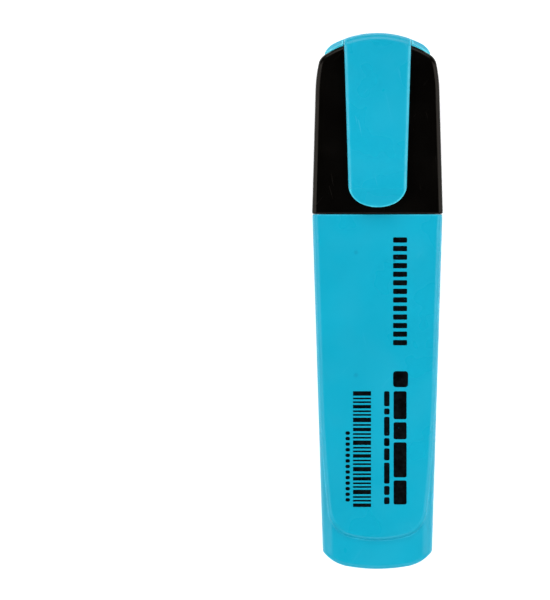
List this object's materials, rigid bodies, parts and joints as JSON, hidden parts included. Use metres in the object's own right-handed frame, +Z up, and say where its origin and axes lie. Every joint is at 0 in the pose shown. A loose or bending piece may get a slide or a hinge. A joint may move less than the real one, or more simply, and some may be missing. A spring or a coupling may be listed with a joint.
{
  "type": "capped flat highlighter pen",
  "caption": "Flat highlighter pen with a domed tail, raised panels, a slanted chisel nib on a black nose, and a pull-off cap with a spring clip.",
  "frame": {"origin": "under the middle of the capped pen, on the flat surface that its back lies on", "axes": "+X across the pen to the right seen from the clip side, +Y along the pen from the tail to the top of the cap, +Z up out of the clip side"},
  "size_m": [0.026, 0.107, 0.0171],
  "materials": {
    "barrel_blue": "satin moulded plastic",
    "clip_blue": "semi-gloss moulded plastic",
    "cap_black": "gloss moulded plastic",
    "nose_black": "semi-gloss moulded plastic",
    "nib_felt": "ink-soaked bonded fibre",
    "reservoir_fibre": "ink-soaked fibre bundle",
    "reservoir_film": "thin clear film",
    "inner_cap_white": "natural polyethylene"
  },
  "bodies": {
    "pen": {"barrel": "barrel_blue", "nose_section": "nose_black", "nib": "nib_felt", "reservoir_core": "reservoir_fibre", "reservoir_film": "reservoir_film"},
    "cap": {"cap_shell": "cap_black", "cap_crown": "clip_blue", "inner_cap": "inner_cap_white"},
    "clip": {"cap_clip": "clip_blue"}
  },
  "joints": [
    {"name": "cap_slide", "type": "slide", "parent": "pen", "child": "cap", "axis": [0, 1, 0], "range_m": [0, 0.04]},
    {"name": "clip_flex", "type": "hinge", "parent": "cap", "child": "clip", "pos_m": [0, 0.0511, 0.0147], "axis": [-1, 0, 0], "range_deg": [0, 7], "stiffness_Nm_per_rad": 0.4}
  ]
}
